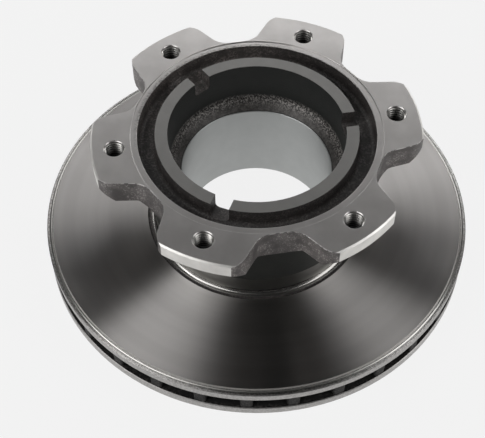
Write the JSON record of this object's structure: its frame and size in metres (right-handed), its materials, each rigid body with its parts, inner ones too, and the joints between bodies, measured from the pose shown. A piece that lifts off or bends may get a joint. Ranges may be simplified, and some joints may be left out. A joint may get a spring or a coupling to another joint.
{
  "type": "brake disc",
  "caption": "Ventilated brake disc cast in one piece, with a deep neck, a turned bore and a lugged bolt-on mounting flange.",
  "frame": {"origin": "on the disc axis, in the plane of the lower friction face", "axes": "+Z along the disc axis, from the lower friction face towards the mounting flange; +X through the middle of a lug"},
  "size_m": [0.29, 0.29, 0.1076],
  "materials": {
    "iron": "grey cast iron: turned friction faces, bore, lug tops and lug tips, with rough cast flanks, neck and groove between"
  },
  "bodies": {
    "root": {"brake_disc": "iron"}
  },
  "joints": []
}
